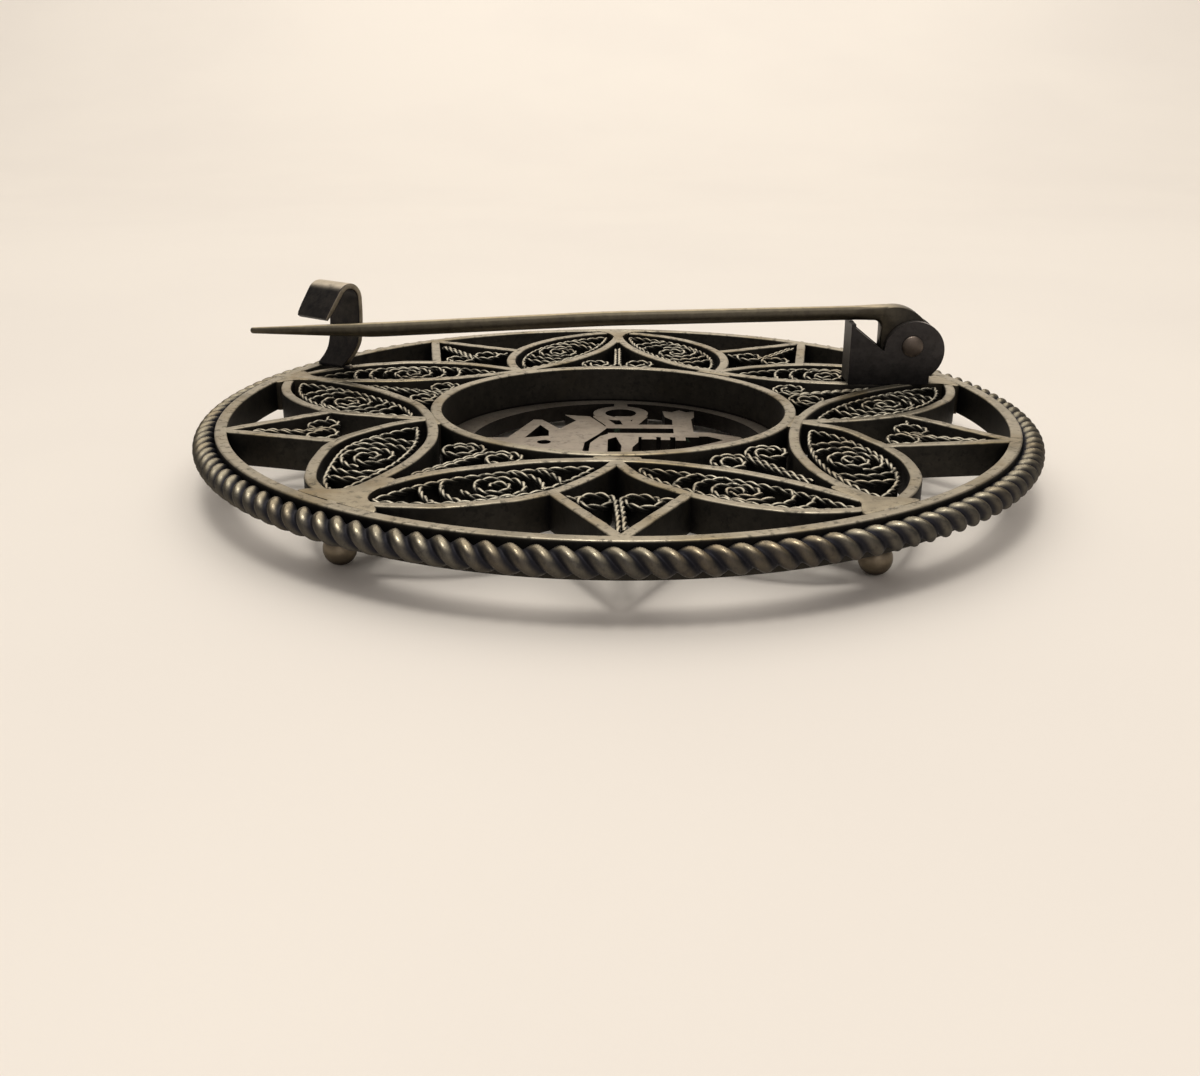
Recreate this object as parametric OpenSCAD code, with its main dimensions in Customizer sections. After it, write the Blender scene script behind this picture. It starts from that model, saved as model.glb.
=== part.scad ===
// Round openwork silver brooch in the Egyptian revival style, lying on its face with the pin side up.
// Millimetres. The origin is on the resting plane under the middle of the round, +Z out of the back.
// The pin runs along X, with its point towards -X.

/* [Round] */
// Diameter over the rope border
outer_d = 44; // [43:0.5:46]
// Thickness of the rope border
rope_d = 1.3; // [1.2:0.05:1.4]
// How far the rope laps into the side of the rim band
rope_lap = 0.3; // [0.25:0.05:0.35]
// Distance from the back face down to the middle of the rope
rope_drop = 0.75; // [0.7:0.05:0.9]
// Width of the plain rim band
band_w = 0.75; // [0.65:0.05:0.85]
// Depth of the middle ring from front face to back face
work_h = 2; // [1.9:0.05:2.1]
// Diameter of the five balls on the front
ball_d = 1.5; // [1.4:0.05:1.6]
// Distance from the resting plane to the front face of the middle ring
face_h = 1.35; // [1.3:0.05:1.4]

/* [Strips] */
// Width of the strips that draw the star
strip_w = 0.55; // [0.5:0.01:0.56]
// Height of the star's strips and of the rim band
strip_h = 1.7; // [1.6:0.05:1.8]
// Inner diameter of the ring in the middle
ring_in_d = 18; // [17.6:0.1:18.2]
// Wall of the ring in the middle
ring_w = 0.6; // [0.5:0.05:0.65]
// Distance from the ring's outside to the middle of a star arc, where they touch
touch_gap = 0.4; // [0.35:0.05:0.45]
// Radius at which a pair of petals ends
petal_tip_r = 19.9; // [19.8:0.05:20]
// Rise of a petal's outer edge over its straight line
petal_rise = 3.1; // [3:0.05:3.2]
// Half width of a kite at its shoulders
kite_half = 2.95; // [2.9:0.05:3]

/* [Filigree] */
// Width of the filigree wire
wire_w = 0.28; // [0.26:0.01:0.3]
// Height of the filigree wire
wire_h = 1.1; // [1:0.05:1.2]
// Distance from the back face down to the wire
wire_sunk = 0.12; // [0.1:0.02:0.3]
// Clear distance between a wire's filling and the strips round it
seat_gap = 0.04; // [0.03:0.01:0.06]
// Distance from a petal's strips to its lining wire
lining_in = 0.35; // [0.3:0.01:0.4]

/* [Plaque] */
// Thickness of the pierced plaque
plaque_h = 0.45; // [0.4:0.05:0.5]
// Inner radius of the plaque's plain border
border_in_r = 8; // [7.9:0.05:8.1]

/* [Catch] */
// Thickness of the catch's strap
strap_t = 0.35; // [0.3:0.05:0.4]
// Width of the catch's strap
strap_w = 2.4; // [2.2:0.1:2.5]
// Height of the middle of the hook's bend over the back face
hook_h = 4.1; // [4:0.05:4.2]
// Radius of the hook's bend in the middle of the strap
hook_r = 0.79; // [0.75:0.01:0.83]
// Height of the lip's end over the back face
lip_h = 3.2; // [3.2:0.05:3.4]
// Turn of the catch away from the pin's line
catch_turn = 35; // [30:1:38]

/* [Pin] */
// Distance of the pin's line from the middle of the brooch
pin_y = 6.2; // [6:0.05:6.2]
// Diameter of the pin's wire
pin_d = 0.84; // [0.8:0.02:0.86]
// Diameter of the pin at its point
point_d = 0.36; // [0.3:0.02:0.4]
// Distance of the rivet from the middle of the brooch
rivet_x = 16.72; // [16.6:0.02:16.8]
// Height of the rivet over the back face
rivet_h = 2.2; // [2.15:0.05:2.25]
// Diameter of the rivet
rivet_d = 0.8; // [0.7:0.02:0.84]
// Radial running clearance of the pin's eye on the rivet
eye_gap = 0.05; // [0.03:0.01:0.08]
// Thickness of the pin's flat knuckle
knuckle_w = 1.2; // [1.1:0.05:1.25]
// Side clearance of the knuckle between the cheeks
cheek_gap = 0.1; // [0.08:0.01:0.12]
// Thickness of the hinge's sheet
cheek_t = 0.45; // [0.4:0.05:0.5]
// Radius of the hinge's round cheeks
cheek_r = 1.7; // [1.65:0.05:1.75]

/* [Hidden] */
$fn = 96;
arms = 5;
arm_turn = 360 / arms;
half_turn = arm_turn / 2;
hair_gap = 0.02;
solder_lap = 0.05;

back_z = face_h + work_h;
wire_z = back_z - wire_sunk - wire_h;
strip_z = back_z - strip_h;

rope_path_r = (outer_d - rope_d) / 2;
band_out_r = outer_d / 2 - rope_d + rope_lap;
band_in_r = band_out_r - band_w;
rope_z = back_z - rope_drop;
rope_seat_gap = 0.03;

ring_in_r = ring_in_d / 2;
ring_out_r = ring_in_r + ring_w;
touch_r = ring_out_r + touch_gap;

// A star arc runs from tip to tip through the touching point under the ring.
tip_r = band_in_r - solder_lap;
tip_x = tip_r * sin(half_turn);
arc_rise = tip_r * cos(half_turn) - touch_r;
arc_r = (tip_x * tip_x + arc_rise * arc_rise) / (2 * arc_rise);
arc_c = [0, -touch_r - arc_r];

// A petal's outer edge is an arc over the straight line from the touching point to the petal's tip.
petal_from = [0, -touch_r];
petal_to = petal_tip_r * [-sin(half_turn), -cos(half_turn)];
petal_l = norm(petal_to - petal_from);
petal_turn = atan2(petal_to.y - petal_from.y, petal_to.x - petal_from.x);
petal_r = (petal_l * petal_l / 4 + petal_rise * petal_rise) / (2 * petal_rise);
petal_in = petal_r - petal_rise;
petal_c = petal_from + petal_l / 2 * [cos(petal_turn), sin(petal_turn)]
    - petal_in * [-sin(petal_turn), cos(petal_turn)];
arc_in = sqrt(arc_r * arc_r - petal_l * petal_l / 4);

// The kites' shoulders lie on the petals' outer edges.
kite_y = petal_c.y - sqrt(petal_r * petal_r - pow(-kite_half - petal_c.x, 2));

// A scroll is given by its radius, its number of half rings, and how much smaller each is than the last.
petal_scroll = [1.38, 4, 0.33];
kite_scroll = [0.8, 2, 0.1];
corner_scroll = [1, 3, 0.23];
// Crescents round the scroll in a petal, given by radius.
crescents = [2.2, 3.1];

// The pair of scrolls in a kite and in a corner: distance out, end of the stem.
kite_pair = [15.5, 19.25];
corner_pair = [10.8, 15.1];
stem_aside = 0.12;
kite_tie = [[-1.6, -15.2], [-2.3, -15.12]];

ball_out_r = 19.3;
// Turn of each ball away from the middle of its tip
ball_turn = [-0.8, 0, 0, 0, -2.5];
ball_r = ball_d / 2;
// Drop of solder between a ball and the strips
ball_neck_r = 0.5;

hinge_w = knuckle_w + 2 * cheek_gap + 2 * cheek_t;
hinge_from_x = 13.2;
hinge_to_x = 17.8;
hinge_floor_t = 0.4;
cheek_c = [16.85, 1.9];
stop_t = 0.25;
stop_h = 3.44;
rivet_z = back_z + rivet_h;

// The stem in side view: distance along X and height over the back face, from the knuckle to the point.
stem = [[15.3, 3.94], [-0.9, 3.47], [-14.2, 2.75], [-20.94, 2.68]];
bend = [15.7, 2.1];
bend_r = 2.25;
neck_x = 15;
neck_d = 0.8;
knuckle_foot = 0.65;

// The catch in side view, its opening towards +X: the wall is an arc that leans back from its foot up to the bend.
catch_at = [-16.25, 9.6];
wall_r = 15.7;
wall_at = 0.12;
lip_lean = 37;
foot_at = 0.6;
foot_l = 3;
foot_w = 0.95;
foot_t = 0.25;

silver = "silver";
dark_silver = "dimgray";

// Helpers

module at_each_arm() {
    for (k = [0:arms - 1]) rotate(k * arm_turn) children();
}

module both_sides() {
    children();
    mirror([1, 0]) children();
}

// A flat ring between two radii
module band(r_in, r_out) {
    difference() {
        circle(r_out);
        circle(r_in);
    }
}

// A straight strip with round ends between two points
module bar(from, to, w) {
    way = to - from;
    translate(from) rotate(atan2(way.y, way.x)) translate([0, -w / 2]) square([norm(way), w]);
    translate(from) circle(w / 2, $fn = 24);
    translate(to) circle(w / 2, $fn = 24);
}

// A flat scroll of half rings that starts at the right and winds inwards
module scroll(form) {
    r = form[0];
    step = form[2];
    for (i = [0:form[1] - 1]) {
        half_r = r - i * step;
        upper = i % 2 == 0;
        translate([upper ? 0 : -step, 0]) intersection() {
            band(half_r - wire_w / 2, half_r + wire_w / 2);
            translate([-2 * r, upper ? 0 : -2 * r]) square([4 * r, 2 * r]);
        }
    }
}

// Openwork frame: rim band, ring, star arcs, petal edges and kites, soldered as one

module petal_lens(inset) {
    intersection() {
        translate(arc_c) circle(arc_r - inset);
        translate(petal_c) circle(petal_r - inset);
    }
}

module star_arc() {
    intersection() {
        translate(arc_c) band(arc_r - strip_w / 2, arc_r + strip_w / 2);
        circle((band_in_r + band_out_r) / 2);
    }
}

module petal_edge() {
    intersection() {
        translate(petal_c) band(petal_r - strip_w / 2, petal_r + strip_w / 2);
        translate(arc_c) circle(arc_r);
    }
}

module solder() {
    touch_pad = [2, touch_gap + 0.3];
    tip_bar_w = 0.7;
    tip_bar_from = 16.3;
    // Filling of the narrow corners between the petals' tips and the rim band
    tip_fill = [[-1.8, -20.3], [1.8, -20.3], [1.2, -19.45], [-1.2, -19.45]];
    translate([0, -ring_out_r - touch_gap / 2]) square(touch_pad, center = true);
    rotate(half_turn) {
        translate([-tip_bar_w / 2, -band_in_r - band_w / 2])
            square([tip_bar_w, band_in_r + band_w / 2 - tip_bar_from]);
        polygon(tip_fill);
    }
}

module openwork_frame() {
    color(silver) {
        translate([0, 0, face_h]) linear_extrude(work_h) band(ring_in_r, ring_out_r);
        translate([0, 0, strip_z]) linear_extrude(strip_h) {
            band(band_in_r, band_out_r);
            at_each_arm() {
                star_arc();
                solder();
                both_sides() {
                    petal_edge();
                    bar([-kite_half, kite_y], [0, -band_in_r - strip_w / 2], strip_w);
                }
            }
        }
    }
}

// Rope border, with its twist left plain

module rope_border() {
    color(dark_silver) difference() {
        rotate_extrude() translate([rope_path_r, rope_z]) circle(rope_d / 2, $fn = 48);
        translate([0, 0, rope_z - rope_d]) cylinder(r = band_out_r + rope_seat_gap, h = 2 * rope_d);
    }
}

// Filigree

module wire() {
    color(silver) translate([0, 0, wire_z]) linear_extrude(wire_h) children();
}

// Height of the middle between a petal's two edges, over the middle of its straight line
petal_mid = (petal_r - petal_in - arc_r + arc_in) / 2;

module petal_pattern() {
    lining_at = strip_w / 2 + lining_in;
    difference() {
        petal_lens(lining_at);
        petal_lens(lining_at + wire_w);
    }
    translate(petal_from) rotate(petal_turn) translate([petal_l / 2, petal_mid]) scroll(petal_scroll);
    intersection() {
        petal_lens(strip_w / 2 + seat_gap);
        translate(petal_from) rotate(petal_turn) translate([petal_l / 2, petal_mid])
            for (r = crescents) band(r - wire_w / 2, r + wire_w / 2);
    }
}

// Two scrolls that grow from one stem, the stem pointing to the rim
module scroll_pair(pair, form) {
    out = pair[0];
    both_sides() {
        translate([-form[0] - stem_aside, -out]) scroll(form);
        translate([-stem_aside - wire_w / 2, -pair[1]]) square([wire_w, pair[1] - out]);
    }
}

// Petals 1 and 2 flank the first kite, and the count goes round with the arms.
module petal_filigree(k) {
    wire() rotate(floor((k - 1) / 2) * arm_turn) mirror([(k - 1) % 2, 0]) petal_pattern();
}

module kite_filigree(k) {
    wire() rotate((k - 1) * arm_turn) {
        scroll_pair(kite_pair, kite_scroll);
        both_sides() bar(kite_tie[0], kite_tie[1], wire_w);
    }
}

module corner_filigree(k) {
    wire() rotate((k - 1) * arm_turn + half_turn) scroll_pair(corner_pair, corner_scroll);
}

// Pierced plaque: a falcon on a river boat under the sun disc, between a pyramid and a lotus column

// A zigzag of that half length, drawn as one strip
module ripple(y, half) {
    pitch = 1.2;
    rise = 0.45;
    thick = 0.4;
    n = ceil(2 * half / pitch);
    function top(i) = [-half + i * 2 * half / n, y + rise * (i % 2)];
    polygon(concat([for (i = [n:-1:0]) top(i)], [for (i = [0:n]) top(i) - [0, thick]]));
}

module boat() {
    keel_r = 8.1;
    keel_y = 4.4;
    depth = 1.5;
    ends_y = 0.5;
    difference() {
        translate([0, keel_y]) circle(keel_r);
        translate([0, keel_y + depth]) circle(keel_r);
        translate([-keel_r, ends_y]) square([2 * keel_r, 2 * keel_r]);
    }
    both_sides() bar([6.8, -0.1], [8.2, -0.35], 0.6);
}

module pyramid() {
    difference() {
        polygon([[-5.2, -0.9], [-3, -2.1], [-3.1, 2.1], [-4.3, 4.25], [-4.8, 4.25], [-6.1, 0.1]]);
        polygon([[-3.75, 0.9], [-3.8, 1.9], [-4.35, 3.1], [-5.05, 0.5]]);
        translate([-3.95, -0.35]) circle(0.38, $fn = 32);
    }
}

module falcon() {
    polygon([[-3.6, -2.2], [-1.85, -2.6], [-1.75, -0.4], [-1, 1.3], [-0.55, 2.6], [-1.25, 4.3],
        [-1.6, 5.05], [-3.05, 5.35], [-2.35, 4.1], [-3, 2.8], [-3.55, 1.6]]);
}

module altar() {
    // Table top and foot board
    translate([-0.65, 2.5]) square([4, 0.8]);
    translate([-0.5, 0.75]) square([5, 0.8]);
    // Legs down to the boat
    polygon([[-1.45, -0.5], [-1.5, -2.65], [-0.5, -2.6], [-0.5, 0.2], [0.15, 1], [-0.4, 1.45],
        [-0.95, 0.85]]);
    polygon([[0.1, -0.2], [0.25, -1], [0.2, -2.75], [0.75, -2.7], [0.85, -1.2], [1.15, -0.3],
        [1.2, 1.1], [-0.1, 1.05]]);
    // Fringe under the foot board
    for (tab = [[1.35, 0.8, 0.3], [2.4, 0.5, 0.2], [3.2, 0.55, 0.1]])
        translate([tab[0], tab[2]]) square([tab[1], 1.2 - tab[2]]);
}

module sun_disc() {
    disc = [0.2, 5.8];
    translate(disc) band(0.9, 1.6);
    // Horns and drop under the disc
    bar([-1.1, 5], [-0.25, 2.9], 0.6);
    bar([1.45, 5], [0.75, 2.9], 0.6);
    polygon([[0.2, 4], [0.35, 3.1], [0.8, 3.1], [0.75, 5.1], [-0.15, 5.1]]);
    // Hanger up to the border
    translate([-0.2, 7.2]) square([0.8, 1.1]);
}

module lotus_column() {
    translate([3.15, 1]) square([1.1, 3.6]);
    polygon([[4.1, 4.1], [4.45, 5], [4.5, 6.3], [4.05, 6.1], [3.65, 6.55], [3.2, 6.1], [2.65, 6.35],
        [2.75, 5], [3.3, 4.1]]);
}

module stern() {
    polygon([[4.15, 0.9], [5, 0.95], [6.3, -0.2], [7.1, -0.1], [6.75, 0.85], [5.1, 1.75], [4.1, 1.7]]);
}

module plaque_scene() {
    boat();
    pyramid();
    falcon();
    altar();
    sun_disc();
    lotus_column();
    stern();
    ripple(-5.1, 6.1);
    ripple(-6.5, 4.7);
}

module centre_plaque() {
    color(silver) translate([0, 0, face_h - plaque_h]) linear_extrude(plaque_h) {
        band(border_in_r, ring_out_r - solder_lap);
        plaque_scene();
    }
}

// Balls on the front, each on a drop of solder under a tip of the star

module face_ball(k) {
    color(dark_silver) intersection() {
        rotate((k - 1) * arm_turn + half_turn + ball_turn[k - 1]) translate([0, -ball_out_r, ball_r]) {
            sphere(ball_r, $fn = 48);
            cylinder(r = ball_neck_r, h = strip_z - ball_r, $fn = 48);
        }
        cylinder(r = outer_d / 2, h = strip_z);
    }
}

// Catch: a strap that rises from its foot and hooks over, open towards the front of the pin's line

module catch_profile() {
    half = strap_t / 2;
    hook_c = [wall_at + hook_r, hook_h];
    way = [sin(lip_lean), -cos(lip_lean)];
    lip_from = hook_c + hook_r * [cos(lip_lean), sin(lip_lean)];
    lip_to = lip_from + (lip_from.y - lip_h) / cos(lip_lean) * way;
    far = 2 * hook_r;
    intersection() {
        translate([wall_at + wall_r, hook_h]) band(wall_r - half, wall_r + half);
        translate([wall_at - strap_t, 0]) square([strap_w, hook_h]);
    }
    translate(hook_c) intersection() {
        band(hook_r - half, hook_r + half);
        polygon([[0, 0], far * [cos(lip_lean), sin(lip_lean)], [0, far], [-far, far], [-far, 0]]);
    }
    bar(lip_from, lip_to, strap_t);
}

module catch() {
    reach = (foot_l - foot_w) / 2;
    color(dark_silver) translate([catch_at.x, catch_at.y, back_z]) rotate(270 - catch_turn) {
        rotate([90, 0, 0]) linear_extrude(strap_w, center = true) catch_profile();
        linear_extrude(foot_t) bar([foot_at, -reach], [foot_at, reach], foot_w);
    }
}

// Hinge: two cheeks on a floor, with the stop that the stem rests over

module cheek_profile() {
    notch = [15.08, 1.93];
    ear_h = 3.42;
    shoulder_h = 0.7;
    difference() {
        union() {
            translate(cheek_c) circle(cheek_r);
            polygon([[hinge_from_x, 0], [hinge_to_x, 0], [hinge_to_x, shoulder_h], cheek_c, notch,
                [hinge_from_x, ear_h]]);
        }
        translate([rivet_x, rivet_h]) circle(rivet_d / 2 + hair_gap);
    }
}

module pin_hinge() {
    color(dark_silver) translate([0, pin_y, back_z]) {
        for (side = [-1, 1]) translate([0, side * (hinge_w - cheek_t) / 2])
            rotate([90, 0, 0]) linear_extrude(cheek_t, center = true) cheek_profile();
        translate([hinge_from_x, -hinge_w / 2, 0]) cube([hinge_to_x - hinge_from_x, hinge_w, hinge_floor_t]);
        translate([hinge_from_x, -hinge_w / 2, 0]) cube([stop_t, hinge_w, stop_h]);
    }
}

module hinge_rivet() {
    head_r = 0.58;
    head_t = 0.18;
    color(dark_silver) translate([rivet_x, pin_y, rivet_z]) rotate([90, 0, 0]) {
        cylinder(d = rivet_d, h = hinge_w + 3 * hair_gap, center = true);
        for (side = [0, 1]) mirror([0, 0, side]) translate([0, 0, hinge_w / 2 + hair_gap]) {
            cylinder(r = head_r, h = head_t / 2);
            translate([0, 0, head_t / 2]) cylinder(r1 = head_r, r2 = head_r / 2, h = head_t / 2);
        }
    }
}

// Pin: flat knuckle on the rivet, bowed stem and tapered point

// A round rod between two places in side view, with a bead a hair wider on its far end
module rod(from, to, d1, d2) {
    way = to - from;
    translate([from.x, 0, from.y]) rotate([0, atan2(way.x, way.y), 0])
        cylinder(d1 = d1, d2 = d2, h = norm(way));
    translate([to.x, 0, to.y]) sphere(d = d2 + hair_gap, $fn = 48);
}

module knuckle_profile() {
    difference() {
        union() {
            intersection() {
                translate(bend) circle(bend_r);
                translate([neck_x, knuckle_foot]) square(2 * bend_r);
            }
            translate([neck_x, bend.y]) square([bend.x - neck_x, bend_r]);
        }
        translate([rivet_x, rivet_h]) circle(rivet_d / 2 + eye_gap);
    }
}

module pin() {
    color(silver) translate([0, pin_y, back_z]) {
        rotate([90, 0, 0]) linear_extrude(knuckle_w, center = true) knuckle_profile();
        rod(stem[0], stem[1], neck_d, pin_d);
        rod(stem[1], stem[2], pin_d, pin_d);
        rod(stem[2], stem[3], pin_d, point_d);
    }
}

openwork_frame();
rope_border();
centre_plaque();
for (k = [1:2 * arms]) petal_filigree(k);
for (k = [1:arms]) kite_filigree(k);
for (k = [1:arms]) corner_filigree(k);
for (k = [1:arms]) face_ball(k);
catch();
pin_hinge();
hinge_rivet();
pin();
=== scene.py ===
# %% [markdown]
# # A filigree brooch of oxidised silver
# The brooch lies on its face on pale card, so we look at its back: a star of upright silver strips in a
# plain rim, twisted wire inside each cell, a rope border, and a pin that swings on a rivet and closes into
# a bent catch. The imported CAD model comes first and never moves. It gives the size and place of every
# piece, and each detailed piece that we make stands for one of its nodes.

# %% Load the frame
import math

import bpy
import numpy as np
from mathutils import Matrix, Vector


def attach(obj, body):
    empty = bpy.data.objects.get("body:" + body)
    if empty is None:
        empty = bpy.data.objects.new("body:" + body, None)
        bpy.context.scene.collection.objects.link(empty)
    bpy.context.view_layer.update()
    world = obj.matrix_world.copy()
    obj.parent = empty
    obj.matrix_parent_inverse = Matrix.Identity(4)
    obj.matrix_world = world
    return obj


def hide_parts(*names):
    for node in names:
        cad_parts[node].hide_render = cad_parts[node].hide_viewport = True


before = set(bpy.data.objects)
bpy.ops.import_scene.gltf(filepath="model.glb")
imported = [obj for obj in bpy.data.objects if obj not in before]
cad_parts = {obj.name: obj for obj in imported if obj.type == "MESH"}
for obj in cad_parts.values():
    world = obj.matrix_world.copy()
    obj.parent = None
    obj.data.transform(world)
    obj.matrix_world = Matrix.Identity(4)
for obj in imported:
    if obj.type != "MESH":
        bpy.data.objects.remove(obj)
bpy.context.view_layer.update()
MM = 0.001

# %% [markdown]
# ## The camera
# The camera is low and close, about 70 mm from the middle of the brooch, so the near rim looks much larger
# than the far one. A camera could be placed by eye, but here its place was worked out from the round rims,
# which a picture turns into ellipses.

# %% Place the camera
CAMERA_AT = Vector((0.074, -67.223, 20.671)) * MM
CAMERA_TURN, CAMERA_TILT, CAMERA_ROLL = (math.radians(a) for a in (0.8346, 20.378, -0.162))
LENS_LENGTH, SENSOR_W = 38.51, 36
NEAREST, FARTHEST = 0.002, 5


def new_object(name, data):
    """An object made from data and put in the scene."""
    made = bpy.data.objects.new(name, data)
    bpy.context.scene.collection.objects.link(made)
    return made


def camera_axes(turn, tilt, roll):
    """The camera's own axes as a matrix: right, up and backwards."""
    level = math.cos(tilt)
    ahead = Vector((-math.sin(turn) * level, math.cos(turn) * level, -math.sin(tilt)))
    right = ahead.cross(Vector((0, 0, 1))).normalized()
    up = right.cross(ahead)
    c, s = math.cos(roll), math.sin(roll)
    return Matrix((right * c - up * s, up * c + right * s, -ahead)).transposed()


camera = new_object("camera", bpy.data.cameras.new("camera"))
bpy.context.scene.camera = camera
camera.data.lens = LENS_LENGTH
camera.data.sensor_width = SENSOR_W
camera.data.clip_start, camera.data.clip_end = NEAREST, FARTHEST
axes = camera_axes(CAMERA_TURN, CAMERA_TILT, CAMERA_ROLL)
camera.matrix_world = Matrix.Translation(CAMERA_AT) @ axes.to_4x4()
print("camera height over the card in mm:", round(CAMERA_AT.z / MM, 1))

# %% [markdown]
# ## Meshes from rings
# Almost everything on a filigree brooch is a strip or a wire that follows a line, so one helper does most
# of the work: it draws a skin through a row of equal rings of points. Curves with a bevel would be shorter
# to write, but rings let us vary the width and height along the way, as hand-cut strips do.


# %% Skins and pieces
def skin(rings, loop=False):
    """Points and faces of a surface through equal rings, each ring turning left round its line."""
    count, around = rings.shape[:2]
    i, j = np.meshgrid(np.arange(count if loop else count - 1), np.arange(around), indexing="ij")
    here, ahead, beside = i * around, (i + 1) % count * around, (j + 1) % around
    faces = np.stack([here + j, here + beside, ahead + beside, ahead + j], -1).reshape(-1, 4).tolist()
    if not loop:
        faces += [list(range(around))[::-1], list(range((count - 1) * around, count * around))]
    return rings.reshape(-1, 3), faces


def piece(name, parts, finish, body="brooch", stands_for=(), sharp=40):
    """One object from several skins, in millimetres, riding on a body."""
    points, faces, start = [], [], 0
    for part_points, part_faces in parts:
        points.append(part_points)
        faces += [[start + k for k in face] for face in part_faces]
        start += len(part_points)
    mesh = bpy.data.meshes.new(name)
    mesh.from_pydata((np.vstack(points) * MM).tolist(), [], faces)
    mesh.shade_smooth()
    mesh.set_sharp_from_angle(angle=math.radians(sharp))
    mesh.materials.append(finish)
    made = new_object(name, mesh)
    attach(made, body)
    if stands_for:
        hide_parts(*stands_for)
    print(f"{name}: {len(faces)} faces")
    return made


print("faces through 5 rings of 8:", len(skin(np.zeros((5, 8, 3)))[1]))

# %% [markdown]
# ## Lines to follow
# A line is a list of flat points in millimetres. These helpers draw arcs, space points evenly, round off
# corners and turn a line about the middle of the brooch, because the star repeats five times. The slow
# waver is what a hand-made strip has in place of a perfect edge. It comes from a seeded generator, so each
# run makes the same brooch.


# %% Line helpers
def all_round(count):
    """Angles spread evenly over a full turn."""
    return np.linspace(0, 2 * np.pi, count, endpoint=False)


def unit(rows):
    """Rows scaled to a length of one."""
    return rows / np.linalg.norm(rows, axis=1)[:, None]


def arc(centre, radius, start, end, step=0.2):
    """Points along an arc between two angles in degrees."""
    count = max(6, math.ceil(abs(math.radians(end - start)) * radius / step))
    angles = np.radians(np.linspace(start, end, count + 1))
    return np.array(centre) + radius * np.c_[np.cos(angles), np.sin(angles)]


def evenly(line, step, loop=False):
    """The line with its points a step apart."""
    points = np.vstack([line, line[:1]]) if loop else np.array(line, float)
    along = np.r_[0, np.cumsum(np.linalg.norm(np.diff(points, axis=0), axis=1))]
    wanted = np.linspace(0, along[-1], max(4, round(along[-1] / step)) + 1)
    spaced = np.stack([np.interp(wanted, along, points[:, k]) for k in range(points.shape[1])], 1)
    return spaced[:-1] if loop else spaced


def soften(line, times, loop=False):
    """The line with its corners rounded off by averaging neighbours so many times."""
    line = np.array(line, float)
    for _ in range(times):
        middle = (np.roll(line, 1, 0) + 2 * line + np.roll(line, -1, 0)) / 4
        if not loop:
            middle[0], middle[-1] = line[0], line[-1]
        line = middle
    return line


def turned(line, degrees, flip=False):
    """The line turned about the middle of the brooch, and mirrored first if asked."""
    line = np.array(line, float) * ([-1, 1] if flip else [1, 1])
    c, s = math.cos(math.radians(degrees)), math.sin(math.radians(degrees))
    return line @ np.array([[c, s], [-s, c]])


def directions(line, loop=False):
    """The way along a line at each point, and the way to its left."""
    ahead = unit(np.roll(line, -1, 0) - np.roll(line, 1, 0) if loop else np.gradient(line, axis=0))
    return ahead, np.c_[-ahead[:, 1], ahead[:, 0]]


def waver(count, size, seed, waves=7, loop=False):
    """A slow irregular wobble along a line."""
    rng = np.random.default_rng(seed)
    along = np.linspace(0, 1, count, endpoint=not loop)
    total = 0
    for k in range(1, waves + 1):
        total = total + np.sin(2 * np.pi * (k * along + rng.random())) / (1 + k / waves)
    return size * total / math.sqrt(waves)


print("points on a quarter round of 10 mm:", len(arc((0, 0), 10, 0, 90)))

# %% [markdown]
# ## Upright strips
# The star and the rim are strips of sheet, 1.7 mm high and about half a millimetre thick, bent on edge and
# soldered. The ring in the middle is 2 mm high and reaches a little lower, because the plaque sits on its
# front edge. Filing and wear have rounded their edges, and that small rounding catches the light. So each
# strip gets a rounded rectangle as its section, and its top and sides waver.

# %% Strip section and strip
RING_LOW, STRIP_LOW, BACK_Z = 1.35, 1.65, 3.35
STRIP_W = 0.55
SWAY, FATTEN, LIFT = 0.012, 0.03, 0.015


def rounded_box(width, low, high, radius, steps=3):
    """A rounded rectangle as points, turning left, with a holding point beside each corner."""
    hold = min(0.05, (width / 2 - radius) / 2, (high - low) / 2 - radius)
    points = []
    for side, level, first in ((1, high, 0), (-1, high, 90), (-1, low, 180), (1, low, 270)):
        x, y = side * (width / 2 - radius), level + (-radius if level == high else radius)
        corner = [np.array([x + radius * math.cos(a), y + radius * math.sin(a)])
                  for a in np.radians(np.linspace(first, first + 90, steps + 1))]
        start, end = math.radians(first), math.radians(first + 90)
        before = np.array([math.sin(start), -math.cos(start)]) * hold
        after = np.array([-math.sin(end), math.cos(end)]) * hold
        points += [corner[0] + before, *corner, corner[-1] + after]
    return np.array(points)


def strip(line, width=STRIP_W, low=STRIP_LOW, high=BACK_Z, radius=0.09, loop=False, seed=1, step=0.3,
          shake=1.0):
    """An upright strip along a flat line, which sways and wavers in width and top."""
    line = evenly(line, step, loop)
    count = len(line)
    _, left = directions(line, loop)
    section = rounded_box(width, low, high, radius)
    shift = waver(count, SWAY * shake, seed, loop=loop)[:, None]
    fat = 1 + waver(count, FATTEN * shake, seed + 50, 11, loop)[:, None]
    upper = section[:, 1] > (low + high) / 2
    lift = waver(count, LIFT * shake, seed + 90, 9, loop)[:, None] * upper
    across = section[None, :, 0] * fat + shift
    rings = np.empty((count, len(section), 3))
    rings[..., :2] = line[:, None] + across[..., None] * left[:, None]
    rings[..., 2] = section[:, 1] + lift
    return skin(rings, loop)


print("points round a strip:", len(rounded_box(STRIP_W, STRIP_LOW, BACK_Z, 0.09)))

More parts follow.
